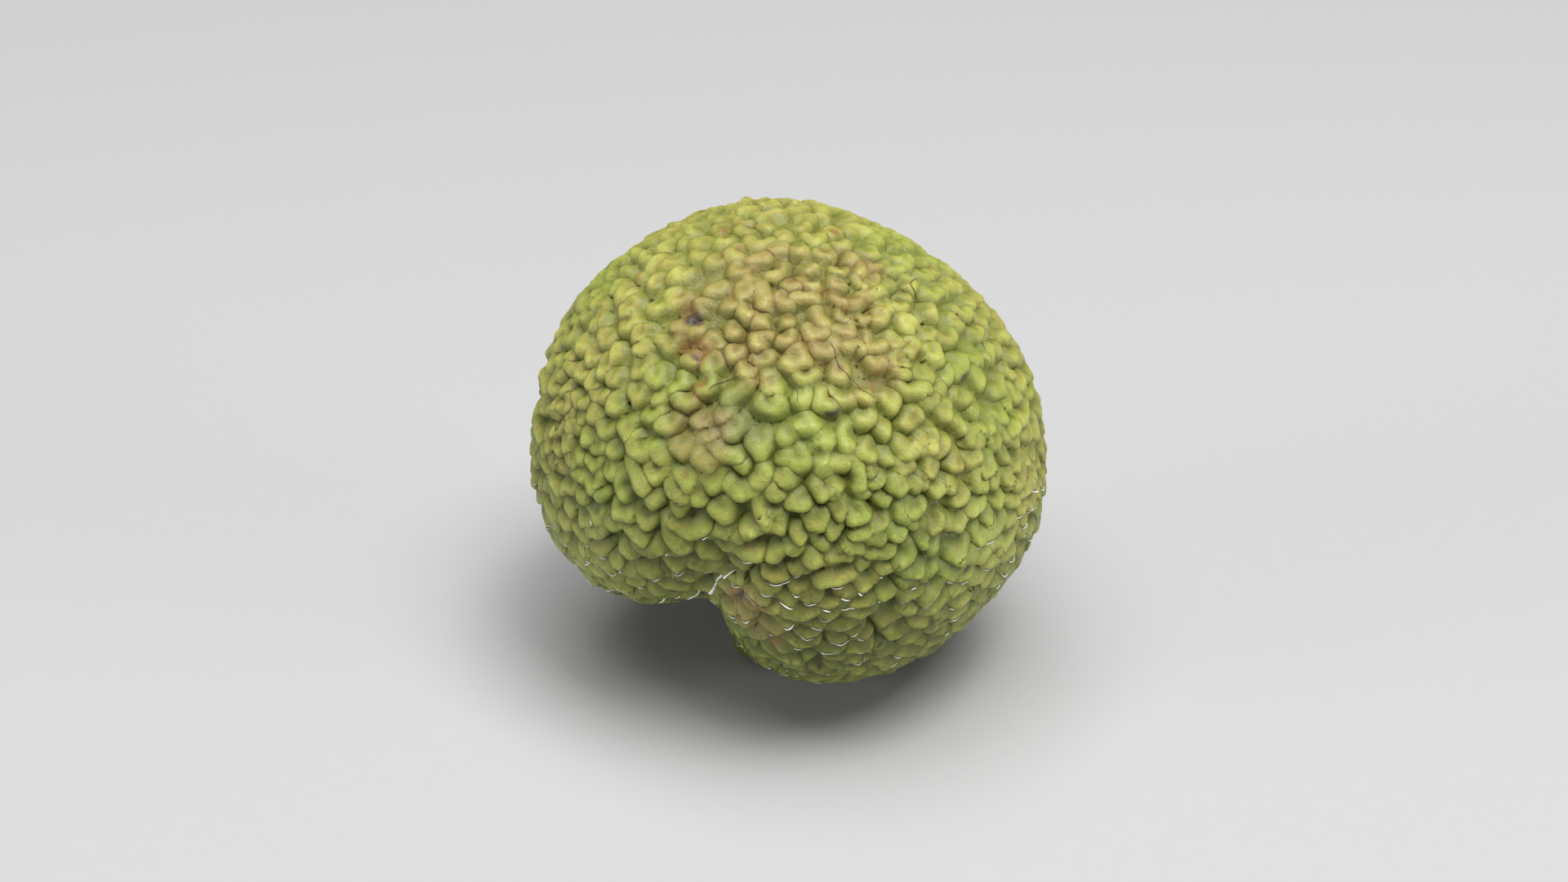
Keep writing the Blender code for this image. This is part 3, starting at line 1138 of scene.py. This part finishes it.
def rind_material(colours):
    """Satin rind: green lobes with paler tops and creases darkened by painted shade, mottled,
    freckled and stained.
    """
    maker = Maker("rind")
    rind = RindPatterns(maker)
    colour = ripen_and_shade_below(maker, rind, colours)
    colour = darken_creases(maker, rind, colours, colour)
    colour = stain(maker, rind, colours, colour)
    colour = maker.scale(colour, 0.58 + rind.mottle * 0.46 + rind.grain * 0.34)
    streak = maker.noise(STREAK_LUMPS, detail=3.0, roughness=0.7).mark(STREAK_MARK)
    colour = maker.blend(streak * rind.rim, colour, colours.brown)
    # The base colour ends with a dark line of painted shade at the bottom of the creases.
    return maker.finish(
        Base_Color=maker.blend(rind.line * 0.35, colour, colours.line),
        Roughness=0.42 + rind.patchy * 0.16 + rind.line * 0.25 + rind.scar * 0.25,
        Normal=maker.bump(rind.mottle * 0.80 + rind.grain * 0.20, RIND_BUMP),
        Specular_IOR_Level=0.42,
        Coat_Weight=0.09 - rind.shade * 0.09,
        Coat_Roughness=0.25,
    )


def highlight_material(colours):
    """White slivers of painted highlight, with grey specks."""
    maker = Maker("painted_highlight_slivers")
    speckle = maker.noise(SPECKLE_LUMPS, detail=3.0)
    return maker.finish(
        Base_Color=maker.blend(speckle.climb(0.52, 0.72) * 0.70, colours.highlight_white, colours.grey),
        Roughness=0.30 + speckle * 0.25,
        Normal=maker.bump(speckle, CRUST_BUMP),
    )


def style_material(colours):
    """Dry brown threads, some of them bleached, with darker blotches."""
    maker = Maker("dried_styles")
    blotch = maker.noise(BLOTCH_LUMPS, detail=2.0)
    pale = maker.attribute("paleness").climb(0.45, 0.75)
    colour = maker.blend(pale, colours.thread, colours.thread_pale)
    colour = maker.blend(blotch.climb(0.50, 0.75) * 0.60, colour, colours.dark)
    return maker.finish(
        Base_Color=colour,
        Roughness=0.62 + blotch * 0.2,
        Normal=maker.bump(blotch, CRUST_BUMP),
    )


def floor_material(paper, fibre):
    """Matt pale paper with a barely visible grain."""
    maker = Maker("floor")
    grain = maker.noise(FIBRE_LUMPS, detail=2.0)
    return maker.finish(
        Base_Color=maker.blend(grain * 0.3, paper, fibre),
        Roughness=0.92 + grain * 0.05,
        Normal=maker.bump(grain, PAPER_BUMP),
    )


def colour_property(name, description, default):
    """A colour that a user can change."""
    return bpy.props.FloatVectorProperty(
        name=name, description=description, default=default, size=4, subtype="COLOR", min=0.0, max=1.0,
    )


def measure_property(name, description, default, unit="LENGTH"):
    """A length, or a measure in another unit, that a user can change."""
    return bpy.props.FloatProperty(name=name, description=description, default=default, unit=unit)


def share_property(name, description, default):
    """A share from 0 to 1 that a user can change."""
    return bpy.props.FloatProperty(
        name=name, description=description, default=default, subtype="FACTOR", min=0.0, max=1.0,
    )


class FruitSettings(bpy.types.PropertyGroup):
    """Sizes of the fruit's relief, of its dried styles and of its slivers of painted highlight."""

    lobe_count: bpy.props.IntProperty(
        name="Lobes", description="How many lobes cover the fruit", default=1550, min=100, max=4000,
    )
    lobe_width: measure_property(
        "Lobe width", "How far from its spine a lobe has fallen by the relief", 0.0021,
    )
    spine: measure_property("Spine", "Half the length of the longest spine", 0.0028)
    relief: measure_property("Relief", "Height of a lobe above its creases", 0.00124)
    unevenness: share_property(
        "Unevenness", "How far the lowest lobe sinks, as a share of the relief", 0.40,
    )
    tilt: share_property("Tilt", "Random slope of the lobes", 0.07)
    shingling: share_property("Shingling", "How steeply each lobe rises towards its lower edge", 0.16)
    sag: measure_property("Sag", "How far the lobes hang over the ones below", 0.0013)
    pit_depth: measure_property("Pit depth", "Depth of the style pits", 0.0010)
    pit_width: measure_property("Pit width", "Width of the style pits", 0.0012)
    style_count: bpy.props.IntProperty(
        name="Styles", description="How many dried styles lie about besides the known ones",
        default=14, min=0, max=200,
    )
    style_length: measure_property("Style length", "Length of the longest of them", 0.010)
    style_radius: measure_property("Style radius", "Radius of a dried style", 0.00010)
    style_wave: share_property(
        "Style waves", "How far the styles wave aside, as a share of their length", 0.05,
    )
    # Half the width of the slivers of painted highlight.
    highlight_width: measure_property(
        "Milk width", "Half the width of the dried milk below a lobe", 0.00016,
    )


class RindColours(bpy.types.PropertyGroup):
    """Colours of the rind, of the dried styles and of the painted highlight."""

    green: colour_property("Green", "The rind's common green", (0.262, 0.312, 0.046, 1.0))
    yellow: colour_property("Yellow", "Riper stretches", (0.385, 0.375, 0.076, 1.0))
    # Also the colour of the painted shade on the lower side.
    deep: colour_property("Deep", "Greener blotches", (0.150, 0.200, 0.010, 1.0))
    top: colour_property("Top", "The worn tops of the lobes", (0.480, 0.480, 0.130, 1.0))
    # Painted shade in and beside the creases and below overhanging lobes.
    crease: colour_property("Crease", "The lobes' sides, down to the creases", (0.080, 0.094, 0.011, 1.0))
    # Painted shade: a dark line at the bottom of the creases.
    line: colour_property("Crease line", "The bottom of the creases", (0.040, 0.036, 0.012, 1.0))
    ochre: colour_property("Ochre", "Bruised stretches", (0.300, 0.225, 0.068, 1.0))
    brown: colour_property("Brown", "Pits, freckles and spots", (0.205, 0.108, 0.024, 1.0))
    dark: colour_property("Dark", "Black specks", (0.050, 0.036, 0.030, 1.0))
    grey: colour_property("Grey", "Weathered stretches", (0.150, 0.136, 0.084, 1.0))
    scar: colour_property("Scar", "The corky stem scar", (0.190, 0.115, 0.055, 1.0))
    # White of the slivers of painted highlight.
    highlight_white: colour_property("Milk", "Dried milk in the lower creases", (0.860, 0.860, 0.820, 1.0))
    thread: colour_property("Style", "Dried styles", (0.130, 0.088, 0.045, 1.0))
    thread_pale: colour_property("Pale style", "Bleached styles", (0.400, 0.350, 0.220, 1.0))


class StudioSettings(bpy.types.PropertyGroup):
    """The floor, the lights and the camera."""

    paper: colour_property("Paper", "The paper that the fruit rests on", (0.42, 0.42, 0.42, 1.0))
    fibre: colour_property("Fibre", "The paper's grain", (0.39, 0.39, 0.39, 1.0))
    sky: colour_property("Sky", "Light from all around", (0.90, 0.92, 0.95, 1.0))
    sky_strength: share_property("Sky strength", "Strength of the light from all around", 0.10)
    key_power: measure_property("Key", "Power of the key light", 52.0, "POWER")
    top_power: measure_property("Top", "Power of the soft box overhead", 74.0, "POWER")
    left_power: measure_property("Left", "Power of the low light at the left", 22.0, "POWER")
    right_power: measure_property("Right", "Power of the low light at the right", 36.0, "POWER")
    camera_elevation: measure_property(
        "Camera elevation", "Angle of the camera above the floor", math.radians(30.0), "ROTATION",
    )
    camera_distance: measure_property(
        "Camera distance", "Distance from the camera to the fruit's middle", 0.467,
    )
    lens: measure_property("Lens", "Focal length in millimetres", 50.0, "CAMERA")


def aim(item, place, target):
    """Put a camera or a light at a place and point it at the target."""
    item.location = place
    item.rotation_euler = (Vector(target) - Vector(place)).to_track_quat("-Z", "Y").to_euler()
    bpy.context.scene.collection.objects.link(item)


def soft_box(name, longitude, latitude, distance, size, power):
    """A square area light that shines on the fruit's middle from a longitude and latitude."""
    lamp = bpy.data.lights.new(name, "AREA")
    lamp.size = size
    lamp.energy = power
    aim(bpy.data.objects.new(name, lamp), MIDDLE + distance * direction(longitude, latitude), MIDDLE)


def lay_floor(settings):
    """Lay the square floor."""
    half = 0.5 * FLOOR_SIDE
    corners = half * np.array(((-1.0, -1.0, 0.0), (1.0, -1.0, 0.0), (1.0, 1.0, 0.0), (-1.0, 1.0, 0.0)))
    material = floor_material(settings.paper, settings.fibre)
    floor = add_mesh("floor", corners, [(0, 1, 2, 3)], {}, material)


def hang_lights(scene, settings):
    """Hang the four soft boxes, and let a little light in from all around."""
    soft_box("key", *KEY_PLACE, settings.key_power)
    soft_box("top", *TOP_PLACE, settings.top_power)
    soft_box("left", *LEFT_PLACE, settings.left_power)
    soft_box("right", *RIGHT_PLACE, settings.right_power)
    world = bpy.data.worlds.new("sky")
    world.use_nodes = True
    sky = world.node_tree.nodes["Background"]
    sky.inputs["Color"].default_value = settings.sky
    sky.inputs["Strength"].default_value = settings.sky_strength
    scene.world = world


def place_camera(scene, settings):
    """Place the camera in front, at its angle above the floor, and look at the fruit's middle."""
    lens = bpy.data.cameras.new("camera")
    lens.lens = settings.lens
    lens.clip_start = NEAREST_SIGHT
    camera = bpy.data.objects.new("camera", lens)
    back = direction(-90.0, math.degrees(settings.camera_elevation))
    target = MIDDLE + CAMERA_AIM
    aim(camera, target + settings.camera_distance * back, target)
    scene.camera = camera
    scene.view_settings.view_transform = "Standard"


def put_on_fruit(piece):
    """Let a piece ride on the fruit."""
    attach(piece, BODY)


class OSAGE_OT_grow_rind(bpy.types.Operator):
    """Grow the pebbled rind in place of the plain solid"""

    bl_idname = "osage.grow_rind"
    bl_label = "Grow rind"

    def execute(self, context):
        settings = context.scene.osage_fruit
        material = rind_material(context.scene.osage_colours)
        vertices, faces, attributes, creases = rind_shape(Lobes(settings), settings)
        rind = add_mesh("pebbled_rind", vertices, faces, attributes, material)
        sharpen(rind, creases)
        put_on_fruit(rind)
        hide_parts(FRUIT_NODE)
        return {"FINISHED"}


class OSAGE_OT_lay_styles(bpy.types.Operator):
    """Lay the dried styles over the rind"""

    bl_idname = "osage.lay_styles"
    bl_label = "Lay dried styles"

    def execute(self, context):
        settings = context.scene.osage_fruit
        material = style_material(context.scene.osage_colours)
        vertices, faces, attributes = style_shape(Lobes(settings), settings)
        put_on_fruit(add_mesh("dried_styles", vertices, faces, attributes, material))
        return {"FINISHED"}


class OSAGE_OT_lay_highlights(bpy.types.Operator):
    """Lay white slivers of painted highlight along the lower edges of the lobes"""

    bl_idname = "osage.smear_milk"
    # The slivers laid here are painted highlight.
    bl_label = "Smear dried milk"

    def execute(self, context):
        settings = context.scene.osage_fruit
        material = highlight_material(context.scene.osage_colours)
        vertices, faces = highlight_shape(Lobes(settings), settings)
        put_on_fruit(add_mesh("painted_highlight_slivers", vertices, faces, {}, material))
        return {"FINISHED"}


class OSAGE_OT_set_studio(bpy.types.Operator):
    """Lay the pale floor, hang the soft lights and place the camera"""

    bl_idname = "osage.set_studio"
    bl_label = "Set studio"

    def execute(self, context):
        scene = context.scene
        settings = scene.osage_studio
        lay_floor(settings)
        hang_lights(scene, settings)
        place_camera(scene, settings)
        return {"FINISHED"}


class OSAGE_PT_panel(bpy.types.Panel):
    """The fruit's sizes, colours and steps"""

    bl_idname = "OSAGE_PT_panel"
    bl_label = "Osage Orange"
    bl_space_type = "VIEW_3D"
    bl_region_type = "UI"
    bl_category = "Osage Orange"

    def draw(self, context):
        scene = context.scene
        for settings in (scene.osage_fruit, scene.osage_colours, scene.osage_studio):
            box = self.layout.box()
            for name in settings.__annotations__:
                box.prop(settings, name)
        for operator in OPERATORS:
            self.layout.operator(operator.bl_idname)


OPERATORS = (OSAGE_OT_grow_rind, OSAGE_OT_lay_styles, OSAGE_OT_lay_highlights, OSAGE_OT_set_studio)
CLASSES = (FruitSettings, RindColours, StudioSettings, *OPERATORS, OSAGE_PT_panel)


def register():
    for item in CLASSES:
        bpy.utils.register_class(item)
    bpy.types.Scene.osage_fruit = bpy.props.PointerProperty(type=FruitSettings)
    bpy.types.Scene.osage_colours = bpy.props.PointerProperty(type=RindColours)
    bpy.types.Scene.osage_studio = bpy.props.PointerProperty(type=StudioSettings)


def unregister():
    del bpy.types.Scene.osage_studio
    del bpy.types.Scene.osage_colours
    del bpy.types.Scene.osage_fruit
    for item in reversed(CLASSES):
        bpy.utils.unregister_class(item)


def main():
    register()
    bpy.ops.osage.grow_rind()
    bpy.ops.osage.lay_styles()
    bpy.ops.osage.smear_milk()
    bpy.ops.osage.set_studio()


if __name__ == "__main__":
    main()
